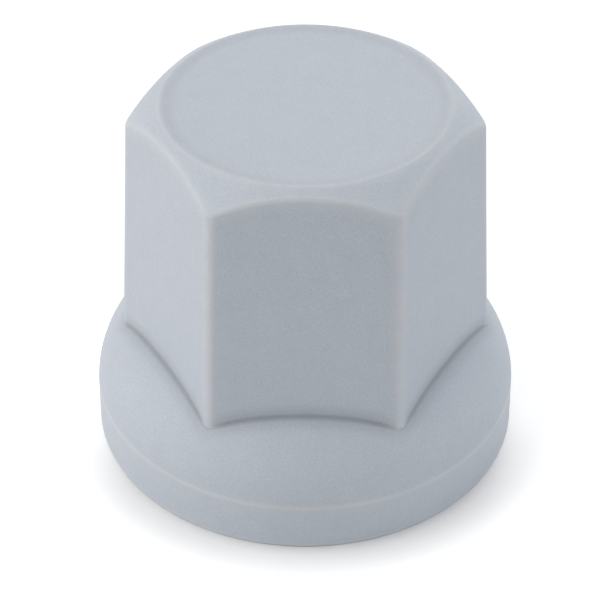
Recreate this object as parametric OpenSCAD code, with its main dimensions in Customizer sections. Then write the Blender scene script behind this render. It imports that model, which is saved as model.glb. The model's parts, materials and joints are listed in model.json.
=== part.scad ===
// Push-on cap for a flanged wheel nut: a tapered hexagonal shell under a shallow
// domed crown, with a bell-shaped flange that hides the nut's washer.
// One moulding, open underneath. The rim stands on z = 0 and the axis is Z.
// Two of the six flats face along Y, and two of the six edges lie on X.

/* [Wheel nut] */
// Distance across the flats of the nut that the cap covers
nut_af = 33; // [30:0.5:35]
// Height of the nut's top above the wheel, its washer included
nut_h = 27; // [20:0.5:32]
// Diameter of the nut's washer
washer_d = 46; // [44:0.5:50]

/* [Fit] */
// Clearance beside each flat of the nut
nut_gap = 0.12; // [0.05:0.01:0.4]
// Clearance around the washer
washer_gap = 0.3; // [0.1:0.05:0.6]

/* [Shell] */
// Height of the whole cap
cap_h = 44.5; // [40:0.5:50]
// Thickness of the moulded wall
wall = 1.9; // [1.4:0.1:2.4]
// Slope of the six flats from upright
flat_draft = 3; // [1:0.25:4]
// Radius of the six upright edges
edge_r = 1.15; // [0.6:0.05:2.5]

/* [Crown] */
// Diameter of the flat disc on top
disc_d = 32.1; // [26:0.1:34]
// Depth that the disc lies below its lip
disc_drop = 0.2; // [0.1:0.05:0.6]
// Width of the lip around the disc
lip_w = 0.3; // [0.2:0.05:0.8]
// Slope of the crown where it leaves the lip
crown_slope = 29.5; // [24:0.5:36]
// Radius of the crown's arc in section
crown_r = 19.3; // [17:0.1:24]

/* [Flange] */
// Thickness of the rim around the washer
rim_w = 2.2; // [1.6:0.1:3]
// Height of the straight band at the rim
band_h = 6; // [4:0.25:8]
// Slope of the band from upright
band_draft = 1.3; // [0.5:0.1:3]
// Radius of the flange's arc in section
dome_r = 10.3; // [9.5:0.1:12]
// Slope of that arc from upright where it leaves the band
dome_lean = 5.2; // [3:0.1:9]

/* [Ribs] */
// Ribs on each inner flat
ribs_per_flat = 2; // [1:1:3]
// Distance between the ribs of one flat
rib_pitch = 9; // [5:0.5:12]
// Width of a rib
rib_w = 1.2; // [0.8:0.1:2]
// Height above the wheel at which the grip ribs start
rib_foot = 12; // [9:0.5:15]
// Overhang of the stop ribs past the nut's flat
stop_lip = 1.3; // [0.8:0.1:2.5]

/* [Hidden] */
flats = 6;
round_fn = 180;
edge_fn = 36;
slice = 0.01;
over = 1;

nut_half = nut_af / 2 + nut_gap;
recess_r = washer_d / 2 + washer_gap;
rim_r = recess_r + rim_w;
crease_r = rim_r - band_h * tan(band_draft);

// Centre of the flange's arc: it starts at the band's top edge
dome_cx = crease_r - dome_r * cos(dome_lean);
dome_cz = band_h - dome_r * sin(dome_lean);

// Centre of the crown's arc: it starts at the outer edge of the lip
lip_r = disc_d / 2 + lip_w;
crown_cx = lip_r - crown_r * sin(crown_slope);
crown_cz = cap_h - crown_r * cos(crown_slope);

// Half the distance across the outer flats, at height z
function flat_at(z) = nut_half + wall + tan(flat_draft) * (nut_h - z);

// Solid hexagon whose flats lean inwards and whose upright edges are rounded
module tapered_hexagon() {
    hull()
        for (z = [0, cap_h - slice], i = [0 : flats - 1])
            rotate(i * 360 / flats)
                translate([(flat_at(z) - edge_r) / cos(180 / flats), 0, z])
                    cylinder(r = edge_r, h = slice, $fn = edge_fn);
}

// Hexagonal space inside, with sharp edges and flats parallel to the outer ones
module tapered_space() {
    reach = 4 * cap_h;
    intersection_for (i = [0 : flats - 1])
        rotate((i + 0.5) * 360 / flats)
            translate([nut_half, 0, nut_h])
                rotate([0, -flat_draft, 0])
                    translate([-reach, -reach / 2, -reach / 2])
                        cube(reach);
}

// Round body that the crown is cut to, drawn in by inset all over
module crown_body(inset) {
    bottom = -over;
    top = cap_h - (inset > 0 ? disc_drop + inset : 0);
    rotate_extrude($fn = round_fn)
        intersection() {
            translate([0, bottom]) square([crown_cx + crown_r, top - bottom]);
            union() {
                translate([crown_cx, crown_cz]) circle(r = crown_r - inset, $fn = round_fn);
                translate([0, bottom]) square([crown_cx + crown_r - inset, crown_cz - bottom]);
            }
        }
}

// Bell of the flange: an upright band, then one arc that runs in under the hexagon
module flange() {
    rotate_extrude($fn = round_fn)
        union() {
            polygon([[0, 0], [rim_r, 0], [crease_r, band_h], [0, band_h]]);
            intersection() {
                translate([dome_cx, dome_cz]) circle(r = dome_r, $fn = round_fn);
                translate([0, band_h]) square([rim_r, dome_r]);
            }
            translate([0, band_h]) square([dome_cx, dome_cz + dome_r - band_h]);
        }
}

// Round space under the flange: a bore around the washer, then a bell that leaves the wall.
// The bell's arc starts at the bore's top edge, level with the outer arc's centre
module flange_space() {
    bell_r = dome_r - wall;
    bell_cx = recess_r - bell_r * cos(dome_lean);
    bore_h = band_h - wall * sin(dome_lean);
    rotate_extrude($fn = round_fn)
        union() {
            translate([0, -over]) square([recess_r, bore_h + over]);
            intersection() {
                translate([bell_cx, dome_cz]) circle(r = bell_r, $fn = round_fn);
                translate([0, bore_h]) square([recess_r, bell_r]);
            }
            translate([0, -over]) square([bell_cx, dome_cz + bell_r + over]);
        }
}

// One rib against an inner flat: it grips the nut below nut_h and stops it above
module rib() {
    back = flat_at(0);
    translate([nut_half, -rib_w / 2, rib_foot])
        cube([back - nut_half, rib_w, cap_h - rib_foot]);
    translate([nut_half - stop_lip, -rib_w / 2, nut_h])
        cube([back - nut_half, rib_w, cap_h - nut_h]);
}

module all_ribs() {
    for (i = [0 : flats - 1], j = [0 : ribs_per_flat - 1])
        rotate((i + 0.5) * 360 / flats)
            translate([0, (j - (ribs_per_flat - 1) / 2) * rib_pitch, 0])
                rib();
}

module nut_cap() {
    color("#b9bfc8")
        difference() {
            union() {
                intersection() {
                    tapered_hexagon();
                    crown_body(0);
                }
                flange();
            }
            translate([0, 0, cap_h - disc_drop])
                cylinder(d = disc_d, h = disc_drop + over, $fn = round_fn);
            flange_space();
            difference() {
                intersection() {
                    tapered_space();
                    crown_body(wall);
                }
                all_ribs();
            }
        }
}

nut_cap();
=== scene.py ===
"""Looks of the lug nut cap: one grey plastic moulding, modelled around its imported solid."""

import json
import math

import bmesh
import bpy
from mathutils import Matrix, Vector


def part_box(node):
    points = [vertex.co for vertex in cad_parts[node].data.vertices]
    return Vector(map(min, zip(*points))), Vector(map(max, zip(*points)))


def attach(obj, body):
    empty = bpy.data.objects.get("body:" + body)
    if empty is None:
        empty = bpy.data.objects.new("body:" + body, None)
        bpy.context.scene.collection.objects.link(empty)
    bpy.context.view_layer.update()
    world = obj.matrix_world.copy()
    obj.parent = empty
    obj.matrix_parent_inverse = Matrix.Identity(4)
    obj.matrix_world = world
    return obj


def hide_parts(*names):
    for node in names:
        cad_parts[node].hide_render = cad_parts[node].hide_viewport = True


MM = 0.001

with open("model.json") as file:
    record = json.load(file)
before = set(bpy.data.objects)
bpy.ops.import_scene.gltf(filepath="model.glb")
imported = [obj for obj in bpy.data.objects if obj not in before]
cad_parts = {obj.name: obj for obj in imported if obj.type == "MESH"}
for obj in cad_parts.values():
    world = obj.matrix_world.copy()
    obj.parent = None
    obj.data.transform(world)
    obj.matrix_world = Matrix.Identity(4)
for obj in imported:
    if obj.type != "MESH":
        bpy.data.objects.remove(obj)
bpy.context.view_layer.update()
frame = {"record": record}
mounts = {mount["name"]: mount for mount in frame["record"]["mounts"]}
low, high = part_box("nut_cap")

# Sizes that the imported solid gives
RIM_R = high.x
CAP_H = high.z
RECESS_R = mounts["washer_recess"]["dims"]["r_mm"] * MM
RECESS_H = mounts["washer_recess"]["dims"]["length_mm"] * MM

# Nut and wall
NUT_HALF = 16.62 * MM
NUT_H = 27 * MM
WALL = 1.9 * MM
FLAT_DRAFT = math.radians(3)
EDGE_R = 1.55 * MM
FLATS = 6
HALF_FLAT = math.pi / FLATS

# Crown: an arc that starts at the lip around the disc
DISC_R = 16.05 * MM
DISC_DROP = 0.2 * MM
DISH_W = 1.5 * MM
LIP_R = 16.35 * MM
CROWN_R = 19.3 * MM
CROWN_SLOPE = math.radians(29.5)
CROWN_CX = LIP_R - CROWN_R * math.sin(CROWN_SLOPE)
CROWN_CZ = CAP_H - CROWN_R * math.cos(CROWN_SLOPE)

# Flange: an upright band, then an arc that runs in under the hexagon
BAND_H = 6 * MM
CREASE_R = RIM_R - BAND_H * math.tan(math.radians(1.3))
DOME_R = 10.3 * MM
DOME_LEAN = math.radians(5.2)
DOME_CX = CREASE_R - DOME_R * math.cos(DOME_LEAN)
DOME_CZ = BAND_H - DOME_R * math.sin(DOME_LEAN)
BELL_R = DOME_R - WALL
BELL_CX = RECESS_R - BELL_R * math.cos(DOME_LEAN)

# Ceiling and ribs inside
CEILING_H = CAP_H - DISC_DROP - WALL
CEILING_R = CROWN_CX + math.sqrt((CROWN_R - WALL) ** 2 - (CEILING_H - CROWN_CZ) ** 2)
RIBS_PER_FLAT = 2
RIB_PITCH = 9 * MM
RIB_W = 1.2 * MM
RIB_DEPTH = 0.9 * MM
STOP_LIP = 1.3 * MM
SUNK = 0.3 * MM

# Small roundings, and the angle in degrees that the surface turns by at each
ROOT_R = 0.3 * MM
ROOT_TURN = 60
CHAMFER_R = 0.8 * MM
CHAMFER_TURN = 52
LIP_ROUND_R = 0.35 * MM
RIM_ROUND_R = 0.25 * MM
MOUTH_ROUND_R = 0.2 * MM
SQUARE = 90

# Fineness of the mesh. The lists hold the share of the way at which each row lies
CORNER_STEPS = 8
FLAT_CUTS = 28
DOME_ROWS = 18
BELL_ROWS = 12
BAND_ROWS = (0.1, 0.5, 0.93, 1)
FLAT_ROWS = (0.018, 0.04, 0.07, 0.12, 0.3, 0.6, 0.94, 1)
CROWN_ROWS = (0.4, 0.6, 0.8, 1)
DISH_ROWS = (0, 0.2, 0.4, 0.6, 0.8, 1)
MIDDLE_ROWS = (0.5, 0.1)
SPACE_ROWS = (0.3, 0.6, 1)
SHARP_FROM = math.radians(35)
TINY = 0.002 * MM
SLIVER = 0.01 * MM

# Painted highlight along the edges: how strong each is, how far from it the fade starts, and how far
# it ends
PALE_UPRIGHT = (0.7, 0.3 * MM, 1 * MM)
PALE_CHAMFER = (0.6, 0.2 * MM, 0.8 * MM)
PALE_LIP = (0.45, 0.05 * MM, 0.4 * MM)
PALE_CREASE = (1, 0, 0.6 * MM)
PALE_RIM = (1, 0.2 * MM, 0.6 * MM)

# Painted shade, darkening the colour in the corner at the foot of the flats and in the dish, given in
# the same way
CORNER_TIGHT = (0.55, 0.1 * MM, 0.5 * MM)
CORNER_WIDE = (0.45, 0, 2.2 * MM)
CORNER_OPEN = (0.5, 0.5 * MM, 2 * MM)
DISH_SHADE = (0.16, 0, 1.2 * MM)
DISH_SHADE_R = DISC_R - 0.5 * MM


def open_edit(thing):
    """Only this object is selected, and it is open in edit mode with nothing selected."""
    bpy.ops.object.select_all(action="DESELECT")
    thing.select_set(True)
    bpy.context.view_layer.objects.active = thing
    bpy.ops.object.mode_set(mode="EDIT")
    bpy.ops.mesh.select_mode(type="VERT")
    bpy.ops.mesh.select_all(action="DESELECT")


def select_where(test):
    """Selects the vertices that the test holds for, and the edges and faces between them."""
    mesh = bmesh.from_edit_mesh(bpy.context.object.data)
    for vertex in mesh.verts:
        vertex.select = test(vertex.co)
    mesh.select_flush(True)
    bmesh.update_edit_mesh(bpy.context.object.data)


def polar(place):
    """Direction around the axis, distance from the axis, and height."""
    return math.atan2(place.y, place.x), math.hypot(place.x, place.y), place.z


def hexagon_radius(azimuth, half, corner_r):
    """Distance from the axis to a hexagon with rounded corners, two of which lie on X."""
    turn = abs((azimuth + HALF_FLAT) % (2 * HALF_FLAT) - HALF_FLAT)
    centre = (half - corner_r) / math.cos(HALF_FLAT)
    tangent = math.atan2(corner_r * math.sin(HALF_FLAT), centre + corner_r * math.cos(HALF_FLAT))
    if turn > tangent:
        return half / math.cos(HALF_FLAT - turn)
    return centre * math.cos(turn) + math.sqrt(corner_r**2 - (centre * math.sin(turn)) ** 2)


def outer_side(azimuth, height):
    """Radius of the hexagon outside, which narrows towards the top."""
    half = NUT_HALF + WALL + math.tan(FLAT_DRAFT) * (NUT_H - height)
    return hexagon_radius(azimuth, half, EDGE_R)


def inner_side(azimuth, height):
    """Radius of the hexagonal space inside, with sharp corners."""
    half = NUT_HALF + math.tan(FLAT_DRAFT) * (NUT_H - height)
    return hexagon_radius(azimuth, half, 0)


def arc_height(radius, centre_r, centre_h, arc_r):
    return centre_h + math.sqrt(max(0, arc_r**2 - (radius - centre_r) ** 2))


def meet(side, azimuth, centre_r, centre_h, arc_r, top=math.inf):
    """Radius and height where a side of the hexagon meets an arc of revolution."""
    height = centre_h + arc_r / 2
    for _ in range(20):
        height = min(top, arc_height(side(azimuth, height), centre_r, centre_h, arc_r))
    return side(azimuth, height), height


def on_arc(centre_r, centre_h, arc_r, angle):
    """Radius and height on an arc, at an angle up from its outermost point."""
    return centre_r + arc_r * math.cos(angle), centre_h + arc_r * math.sin(angle)


def angle_on(centre_r, centre_h, place):
    return math.atan2(place[1] - centre_h, place[0] - centre_r)


def between(first, last, share):
    return first + (last - first) * share


def root(azimuth):
    return meet(outer_side, azimuth, DOME_CX, DOME_CZ, DOME_R)


def chamfer(azimuth):
    return meet(outer_side, azimuth, CROWN_CX, CROWN_CZ, CROWN_R)


def inner_root(azimuth):
    return meet(inner_side, azimuth, BELL_CX, DOME_CZ, BELL_R)


def inner_chamfer(azimuth):
    return meet(inner_side, azimuth, CROWN_CX, CROWN_CZ, CROWN_R - WALL, CEILING_H)


def level(radius, height):
    """A round ring: the same radius and height all the way round."""
    return lambda azimuth: (radius, height)


def dome_row(share):
    """A row on the flange, from the crease (0) to the root of the hexagon (1)."""

    def row(azimuth):
        angle = between(DOME_LEAN, angle_on(DOME_CX, DOME_CZ, root(azimuth)), share)
        return on_arc(DOME_CX, DOME_CZ, DOME_R, angle)

    return row


def bell_row(share):
    """A row on the bell inside the flange, from the bore (0) to the hexagonal space (1)."""

    def row(azimuth):
        angle = between(DOME_LEAN, angle_on(BELL_CX, DOME_CZ, inner_root(azimuth)), share)
        return on_arc(BELL_CX, DOME_CZ, BELL_R, angle)

    return row


def side_row(side, foot, head, share):
    """A row on a side of the hexagon, between its foot and its head."""

    def row(azimuth):
        height = between(foot(azimuth)[1], head(azimuth)[1], share)
        return side(azimuth, height), height

    return row


def crown_row(share):
    """A row on the crown, from its meet with the flats (0) to the lip (1)."""

    def row(azimuth):
        start = angle_on(CROWN_CX, CROWN_CZ, chamfer(azimuth))
        return on_arc(CROWN_CX, CROWN_CZ, CROWN_R, between(start, math.pi / 2 - CROWN_SLOPE, share))

    return row


def dish_row(share):
    """A row where the disc curves up to its lip, from the lip (0) to the flat middle (1)."""
    return level(DISC_R - DISH_W * share, CAP_H - DISC_DROP + DISC_DROP * (1 - share) ** 2)


def inner_crown_row(azimuth):
    """Where the slope over each inner corner runs out in the ceiling."""
    return min(CEILING_R, inner_chamfer(azimuth)[0]), CEILING_H


def place_ring(row):
    """Moves the selected ring to a row, each vertex along its own direction from the axis."""
    mesh = bmesh.from_edit_mesh(bpy.context.object.data)
    for vertex in mesh.verts:
        if vertex.select:
            azimuth = polar(vertex.co)[0]
            radius, height = row(azimuth)
            vertex.co = radius * math.cos(azimuth), radius * math.sin(azimuth), height
    bmesh.update_edit_mesh(bpy.context.object.data)


def grow(rows):
    """Extrudes the selected ring from row to row."""
    for row in rows:
        bpy.ops.mesh.extrude_edges_move()
        place_ring(row)


def round_ring(row, radius, turn, steps=6):
    """Rounds the edge along a row, where the surface turns by an angle, to a radius."""

    def on_row(place):
        azimuth, distance, height = polar(place)
        target = row(azimuth)
        return abs(distance - target[0]) < TINY and abs(height - target[1]) < TINY

    bpy.ops.mesh.select_all(action="DESELECT")
    select_where(on_row)
    offset = radius * math.tan(math.radians(turn) / 2)
    bpy.ops.mesh.bevel(offset=offset, segments=steps, affect="EDGES", clamp_overlap=False)


def base_ring():
    """A hexagon with rounded corners, and each long side cut into short edges."""
    half = NUT_HALF + WALL
    bpy.ops.object.select_all(action="DESELECT")
    bpy.ops.mesh.primitive_circle_add(
        vertices=FLATS, radius=half / math.cos(HALF_FLAT), fill_type="NGON", rotation=(0, 0, HALF_FLAT)
    )
    cap = bpy.context.object
    bpy.ops.object.transform_apply(location=True, rotation=True, scale=True)
    open_edit(cap)
    bpy.ops.mesh.select_all(action="SELECT")
    bpy.ops.mesh.bevel(offset=EDGE_R * math.tan(HALF_FLAT), segments=CORNER_STEPS, affect="VERTICES")
    bpy.ops.mesh.select_all(action="SELECT")
    bpy.ops.mesh.delete(type="ONLY_FACE")
    mesh = bmesh.from_edit_mesh(cap.data)
    for edge in mesh.edges:
        edge.select = edge.calc_length() > half / 2
    bmesh.update_edit_mesh(cap.data)
    bpy.ops.mesh.subdivide(number_cuts=FLAT_CUTS)
    bpy.ops.mesh.select_all(action="SELECT")
    return cap


def cap_shell():
    """The moulding without its ribs."""
    cap = base_ring()
    cap.name = "cap_shell"
    place_ring(level(RIM_R, 0))
    band = [level(between(RIM_R, CREASE_R, t), BAND_H * t) for t in BAND_ROWS]
    dome = [dome_row((k + 1) / DOME_ROWS) for k in range(DOME_ROWS)]
    flats = [side_row(outer_side, root, chamfer, t) for t in FLAT_ROWS]
    crown = [crown_row(t) for t in CROWN_ROWS]
    dish = [dish_row(t) for t in DISH_ROWS]
    disc = [level(DISC_R * t, CAP_H - DISC_DROP) for t in MIDDLE_ROWS]
    grow(band + dome + flats + crown + dish + disc)
    bpy.ops.mesh.merge(type="CENTER")
    select_where(lambda place: place.z < TINY)
    bore = [level(RECESS_R, 0), level(RECESS_R, RECESS_H)]
    bell = [bell_row((k + 1) / BELL_ROWS) for k in range(BELL_ROWS)]
    space = [side_row(inner_side, inner_root, inner_chamfer, t) for t in SPACE_ROWS]
    ceiling = [inner_crown_row] + [level(CEILING_R * t, CEILING_H) for t in MIDDLE_ROWS]
    grow(bore + bell + space + ceiling)
    bpy.ops.mesh.merge(type="CENTER")
    round_ring(root, ROOT_R, ROOT_TURN, 3)
    round_ring(chamfer, CHAMFER_R, CHAMFER_TURN)
    round_ring(level(LIP_R, CAP_H), LIP_ROUND_R, math.degrees(CROWN_SLOPE), 3)
    round_ring(level(RIM_R, 0), RIM_ROUND_R, SQUARE, 4)
    round_ring(level(RECESS_R, 0), MOUTH_ROUND_R, SQUARE, 3)
    bpy.ops.mesh.select_all(action="SELECT")
    bpy.ops.mesh.remove_doubles(threshold=TINY)
    bpy.ops.mesh.dissolve_degenerate(threshold=TINY)
    bpy.ops.mesh.select_all(action="SELECT")
    bpy.ops.mesh.normals_make_consistent(inside=False)
    bpy.ops.object.mode_set(mode="OBJECT")
    return cap


def rib():
    """One rib beside the +X flat: it grips the nut up to its top, and stops it above."""
    foot = arc_height(NUT_HALF, BELL_CX, DOME_CZ, BELL_R)
    head = CEILING_H + SUNK
    bpy.ops.object.select_all(action="DESELECT")
    bpy.ops.mesh.primitive_cube_add(
        size=1,
        location=(NUT_HALF + RIB_DEPTH / 2, 0, (foot + head) / 2),
        scale=(RIB_DEPTH, RIB_W, head - foot),
    )
    made = bpy.context.object
    bpy.ops.object.transform_apply(location=True, rotation=True, scale=True)
    open_edit(made)
    bpy.ops.mesh.select_all(action="SELECT")
    bpy.ops.mesh.bisect(plane_co=(0, 0, NUT_H), plane_no=(0, 0, 1))
    bpy.ops.mesh.select_all(action="DESELECT")
    select_where(lambda place: place.x < NUT_HALF + TINY and place.z > NUT_H - TINY)
    bpy.ops.mesh.extrude_region_move(TRANSFORM_OT_translate={"value": (-STOP_LIP, 0, 0)})
    bpy.ops.object.mode_set(mode="OBJECT")
    return made


def all_ribs():
    """The ribs of all six flats, joined in one object."""
    first = rib()
    copies = []
    for flat in range(FLATS):
        for place in range(RIBS_PER_FLAT):
            shift = (place - (RIBS_PER_FLAT - 1) / 2) * RIB_PITCH
            turn = Matrix.Rotation((flat + 0.5) * 2 * HALF_FLAT, 4, "Z")
            copy = first.copy()
            copy.data = first.data.copy()
            copy.data.transform(turn @ Matrix.Translation((0, shift, 0)))
            bpy.context.scene.collection.objects.link(copy)
            copies.append(copy)
    bpy.data.objects.remove(first)
    bpy.ops.object.select_all(action="DESELECT")
    for copy in copies:
        copy.select_set(True)
    bpy.context.view_layer.objects.active = copies[0]
    bpy.ops.object.join()
    return copies[0]


def apply_modifier(thing, kind, **settings):
    """Adds a modifier with its settings, and applies it."""
    bpy.ops.object.select_all(action="DESELECT")
    thing.select_set(True)
    bpy.context.view_layer.objects.active = thing
    bpy.ops.object.modifier_add(type=kind)
    modifier = thing.modifiers[-1]
    for name, value in settings.items():
        setattr(modifier, name, value)
    bpy.ops.object.modifier_apply(modifier=modifier.name)


def fade(distance, kind):
    """The kind's strength up to its first distance, 0 from its second on, smooth between."""
    strength, full, none = kind
    share = min(1, max(0, (none - distance) / (none - full)))
    return strength * share * share * (3 - 2 * share)


def from_upright(azimuth, radius):
    """Distance sideways from the nearest upright edge."""
    turn = (azimuth + HALF_FLAT) % (2 * HALF_FLAT) - HALF_FLAT
    return abs(radius * math.sin(turn))


def painted_edge_highlight(place):
    """How strong the painted highlight is here: 1 along a sharp outer edge, 0 on an open surface."""
    azimuth, radius, height = polar(place)

    def gap(row):
        return math.hypot(radius - row(azimuth)[0], height - row(azimuth)[1])

    foot, head = root(azimuth)[1], chamfer(azimuth)[1]
    outside = radius > outer_side(azimuth, height) - WALL / 2
    upright = fade(from_upright(azimuth, radius), PALE_UPRIGHT)
    upright *= outside and foot < height < head
    along_chamfer = fade(gap(chamfer), PALE_CHAMFER)
    along_lip = fade(gap(level(LIP_R, CAP_H)), PALE_LIP)
    along_crease = fade(gap(level(CREASE_R, BAND_H)), PALE_CREASE)
    along_rim = fade(gap(level(RIM_R, 0)), PALE_RIM)
    return max(upright, along_chamfer, along_lip, along_crease, along_rim)


def painted_crevice_shade(place):
    """How much painted shade this gets: 1 deep in the corner at the foot of the flats, 0 away from it.
    The dish at the disc's edge gets a little, and the upright edges stand out of the corner."""
    azimuth, radius, height = polar(place)
    if height > CAP_H - DISC_DROP - TINY:
        return fade(abs(radius - DISH_SHADE_R), DISH_SHADE)
    if radius < outer_side(azimuth, height) - WALL / 2:
        return 0
    foot = root(azimuth)
    distance = math.hypot(radius - foot[0], height - foot[1])
    deep = fade(distance, CORNER_TIGHT) + fade(distance, CORNER_WIDE)
    return deep * (1 - fade(from_upright(azimuth, radius), CORNER_OPEN))


def finish_cap(cap, ribs):
    """Joins the ribs to the shell, sets the shading, and stores where the painted highlight along the
    edges and the painted shade in the corner and dish go.
    """
    apply_modifier(cap, "BOOLEAN", operation="UNION", solver="EXACT", object=ribs)
    bpy.data.objects.remove(ribs)
    open_edit(cap)
    bpy.ops.mesh.select_all(action="SELECT")
    bpy.ops.mesh.dissolve_degenerate(threshold=SLIVER)
    bpy.ops.object.mode_set(mode="OBJECT")
    bpy.ops.object.shade_smooth_by_angle(angle=SHARP_FROM)
    apply_modifier(cap, "WEIGHTED_NORMAL", keep_sharp=True)
    # Stored per vertex: the painted highlight along the edges, and the painted shade in the corner at
    # the foot of the flats and in the dish
    paleness = cap.data.attributes.new("painted_edge_highlight", "FLOAT", "POINT")
    shade = cap.data.attributes.new("painted_crevice_shade", "FLOAT", "POINT")
    for vertex, pale, deep in zip(cap.data.vertices, paleness.data, shade.data):
        pale.value = painted_edge_highlight(vertex.co)
        deep.value = painted_crevice_shade(vertex.co)


class Number:
    """A number in a material. Maths on it adds the Math nodes."""

    def __init__(self, paint, socket):
        self.paint = paint
        self.socket = socket

    def maths(self, operation, first, second):
        return self.paint.node("ShaderNodeMath", {"operation": operation}, {0: first, 1: second})

    def __add__(self, other):
        return self.maths("ADD", self, other)

    def __radd__(self, other):
        return self.maths("ADD", other, self)

    def __sub__(self, other):
        return self.maths("SUBTRACT", self, other)

    def __rsub__(self, other):
        return self.maths("SUBTRACT", other, self)

    def __mul__(self, other):
        return self.maths("MULTIPLY", self, other)

    def __rmul__(self, other):
        return self.maths("MULTIPLY", other, self)


class Paint:
    """A node tree that is started afresh, and the one method that adds its nodes."""

    def __init__(self, owner):
        owner.use_nodes = True
        self.tree = owner.node_tree
        self.tree.nodes.clear()

    def node(self, kind, settings=None, sockets=None, output=0):
        made = self.tree.nodes.new(kind)
        for name, value in (settings or {}).items():
            setattr(made, name, value)
        for name, value in (sockets or {}).items():
            if isinstance(value, Number):
                self.tree.links.new(value.socket, made.inputs[name])
            else:
                made.inputs[name].default_value = value
        return Number(self, made.outputs[output]) if made.outputs else None

    def blend(self, share, first, second):
        """A colour between two colours."""
        return self.node(
            "ShaderNodeMix", {"data_type": "RGBA"}, {0: share, 6: first, 7: second}, output=2
        )


BODY_COLOUR = (0.578, 0.622, 0.685, 1)
# Colour of the painted highlight along the edges
HIGHLIGHT_COLOUR = (0.67, 0.695, 0.73, 1)
# Colour of the painted shade in the corner and the dish, and how far towards it the colour goes
PAINTED_SHADE_COLOUR = (0.22, 0.235, 0.26, 1)
PAINTED_SHADE_SHARE = 0.62
MOTTLE = 0.06
GRAIN_SHARE = 5
MOTTLE_SHARE = 0.7
ROUGHNESS = 0.55
PLASTIC_IOR = 1.46
GRAIN_SIZE = 0.13 * MM
MOTTLE_SIZE = 2.5 * MM
GRAIN_DEPTH = 0.04 * MM


def grey_plastic():
    """Matt grey moulded plastic: fine grain, faint mottling, a painted highlight along the edges, and
    painted shade in the corner at the foot of the flats and in the dish.
    """
    material = bpy.data.materials.new("grey_plastic")
    paint = Paint(material)
    place = paint.node("ShaderNodeTexCoord", output="Object")
    grain = paint.node(
        "ShaderNodeTexNoise", sockets={"Vector": place, "Scale": 1 / GRAIN_SIZE, "Detail": 1.5}
    )
    mottle = paint.node(
        "ShaderNodeTexNoise", sockets={"Vector": place, "Scale": 1 / MOTTLE_SIZE, "Detail": 3}
    )
    edge = paint.node("ShaderNodeAttribute", {"attribute_name": "painted_edge_highlight"}, output="Fac")
    dark = tuple(c * (1 - MOTTLE) for c in BODY_COLOUR[:3]) + (1,)
    light = tuple(c * (1 + MOTTLE) for c in BODY_COLOUR[:3]) + (1,)
    lightness = 0.5 + GRAIN_SHARE * (grain - 0.5) + MOTTLE_SHARE * (mottle - 0.5)
    body = paint.blend(lightness, dark, light)
    # Painted shade: the colour is darkened towards a dark grey in the corner at the foot of the flats
    # and in the dish
    corner = paint.node("ShaderNodeAttribute", {"attribute_name": "painted_crevice_shade"}, output="Fac")
    with_painted_shade = paint.blend(PAINTED_SHADE_SHARE * corner, body, PAINTED_SHADE_COLOUR)
    # Painted highlight: the colour is lightened towards a paler grey along the edges, the crease, the
    # lip and the rim
    colour = paint.blend(edge * (0.5 + mottle), with_painted_shade, HIGHLIGHT_COLOUR)
    normal = paint.node("ShaderNodeBump", sockets={"Height": grain, "Distance": GRAIN_DEPTH})
    surface = paint.node(
        "ShaderNodeBsdfPrincipled",
        sockets={"Base Color": colour, "Roughness": ROUGHNESS, "Normal": normal, "IOR": PLASTIC_IOR},
    )
    paint.node("ShaderNodeOutputMaterial", sockets={"Surface": surface})
    return material


# Floor: SHADOW_REACH and SHADOW_SPREAD size the painted shadow at the front of the rim
FLOOR_COLOUR = (0.9, 0.9, 0.9, 1)
FLOOR_WHITE = 0.43
SHADOW_REACH = 6 * MM
LIT_REACH = 0.3
SHADOW_SPREAD = 0.7
FLOOR_SIZE = 4
AMBIENT = 0.2


def seen_directly(paint):
    """1 for the camera and for rays that mirror or pass through to the surroundings."""
    rays = "ShaderNodeLightPath"
    camera = paint.node(rays, output="Is Camera Ray")
    glossy = paint.node(rays, output="Is Glossy Ray")
    through = paint.node(rays, output="Is Transmission Ray")
    return camera + glossy + through


def ramp(paint, value, start, end, kind="LINEAR"):
    """0 up to one value and 1 from another on."""
    ends = {0: value, 1: start, 2: end}
    return paint.node("ShaderNodeMapRange", {"interpolation_type": kind}, ends)


def from_middle(paint):
    """Place on the floor, and its distance from the cap's axis."""
    place = paint.node("ShaderNodeTexCoord", output="Object")
    return place, paint.node("ShaderNodeVectorMath", {"operation": "LENGTH"}, {0: place}, output=1)


def painted_near_shadow(paint):
    """1 on the floor at the front of the rim, where the shadow is painted in, and 0 away from it."""
    place, distance = from_middle(paint)
    towards = paint.node("ShaderNodeVectorMath", {"operation": "NORMALIZE"}, {0: place})
    front = {0: towards, 1: (0, -1, 0)}
    facing = paint.node("ShaderNodeVectorMath", {"operation": "DOT_PRODUCT"}, front, output=1)
    close = 1 - ramp(paint, distance, RIM_R, RIM_R + SHADOW_REACH)
    return close * ramp(paint, facing, 0, SHADOW_SPREAD, "SMOOTHSTEP")


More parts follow.
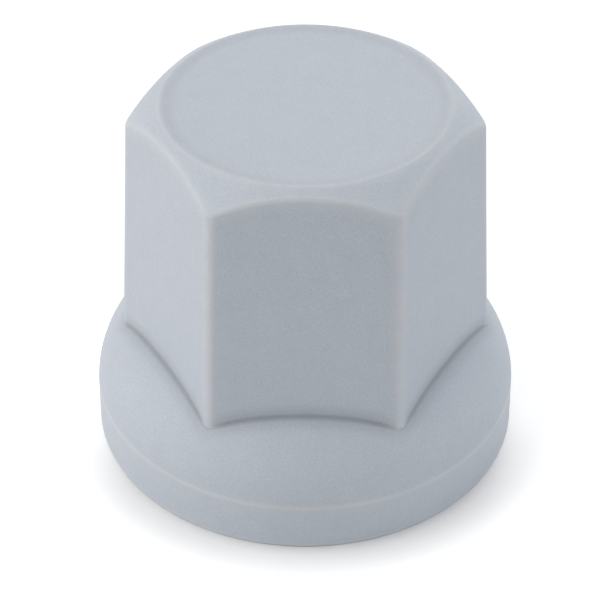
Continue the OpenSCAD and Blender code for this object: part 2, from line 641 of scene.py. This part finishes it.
def white_floor():
    """A white floor that keeps the shadow: what is seen of it is lifted to white, less so at the front
    of the rim, so the shadow there is partly real and partly painted.
    """
    bpy.ops.object.select_all(action="DESELECT")
    bpy.ops.mesh.primitive_plane_add(size=FLOOR_SIZE)
    floor = bpy.context.object
    floor.name = "floor"
    material = bpy.data.materials.new("white_floor")
    paint = Paint(material)
    diffuse = paint.node("ShaderNodeBsdfDiffuse", sockets={"Color": FLOOR_COLOUR})
    unlit = ramp(paint, from_middle(paint)[1], LIT_REACH, 3 * LIT_REACH)
    # Painted shadow: the lift to white is smaller at the front of the rim
    lift = (FLOOR_WHITE * (1 - painted_near_shadow(paint)) + (1 - FLOOR_WHITE) * unlit) * seen_directly(paint)
    glow = paint.node("ShaderNodeEmission", sockets={"Strength": lift})
    both = paint.node("ShaderNodeAddShader", sockets={0: diffuse, 1: glow})
    paint.node("ShaderNodeOutputMaterial", sockets={"Surface": both})
    floor.data.materials.append(material)


def white_surroundings():
    """Even white light all round, and plain white where it is seen or mirrored."""
    world = bpy.data.worlds.new("surroundings")
    bpy.context.scene.world = world
    paint = Paint(world)
    strength = AMBIENT + (1 - AMBIENT) * seen_directly(paint)
    sky = paint.node("ShaderNodeBackground", sockets={"Color": (1, 1, 1, 1), "Strength": strength})
    paint.node("ShaderNodeOutputWorld", sockets={"Surface": sky})


# Soft lights: name, direction round the cap from the front, height angle, power and tint
NEUTRAL = (1, 1, 1)
WARM = (1.03, 1, 0.98)
COOL = (0.96, 1, 1.04)
MIDDLE = Vector((0, 0, CAP_H / 2))
LIGHT_DISTANCE = 0.6
LIGHT_SIZE = 0.35
SOFT_LIGHTS = [
    ("overhead", 0, 90, 1.05, NEUTRAL),
    ("back", 180, 35, 0.29, NEUTRAL),
    ("back_right_low", 150, 12, 0.31, NEUTRAL),
    ("left_high", -95, 60, 0.65, WARM),
    ("left_low", -90, 12, 0.95, WARM),
    ("front_left_low", -30, 12, 0.56, COOL),
    ("right_low", 90, 12, 0.96, COOL),
]


def direction(azimuth, elevation):
    """Unit vector towards a place round the cap: azimuth 0 is the front, 90 the right."""
    azimuth, elevation = math.radians(azimuth), math.radians(elevation)
    level_part = math.cos(elevation)
    return Vector(
        (math.sin(azimuth) * level_part, -math.cos(azimuth) * level_part, math.sin(elevation))
    )


def soft_lights():
    for name, azimuth, elevation, power, tint in SOFT_LIGHTS:
        towards = direction(azimuth, elevation)
        bpy.ops.object.light_add(type="AREA", location=MIDDLE + LIGHT_DISTANCE * towards)
        lamp = bpy.context.object
        lamp.name = name
        lamp.rotation_mode = "QUATERNION"
        lamp.rotation_quaternion = towards.to_track_quat("Z", "Y")
        lamp.data.size = LIGHT_SIZE
        lamp.data.energy = power
        lamp.data.color = tint


# Camera: how the photograph looks at the cap
VIEW_ELEVATION = 38.99
VIEW_AZIMUTH = 0.489
VIEW_DISTANCE = 236.2 * MM
VIEW_TARGET = Vector((0, 0, 22.39 * MM))
VIEW_RIGHT = -0.636 * MM
VIEW_UP = -4.951 * MM
LENS = 119.86
SENSOR_W = 36
NEAREST = 10 * MM


def photo_camera():
    """A camera at the photograph's viewing angle and distance."""
    back = direction(VIEW_AZIMUTH, VIEW_ELEVATION)
    right = direction(VIEW_AZIMUTH + 90, 0)
    up = back.cross(right)
    bpy.ops.object.camera_add()
    camera = bpy.context.object
    place = VIEW_TARGET + back * VIEW_DISTANCE + right * VIEW_RIGHT + up * VIEW_UP
    turn = Matrix((right, up, back)).transposed().to_4x4()
    camera.matrix_world = Matrix.Translation(place) @ turn
    camera.data.sensor_width = SENSOR_W
    camera.data.lens = LENS
    camera.data.clip_start = NEAREST
    bpy.context.scene.camera = camera


cap = cap_shell()
finish_cap(cap, all_ribs())
cap.data.materials.append(grey_plastic())
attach(cap, "root")
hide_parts("nut_cap")
white_floor()
white_surroundings()
soft_lights()
photo_camera()
bpy.context.scene.view_settings.view_transform = "Standard"
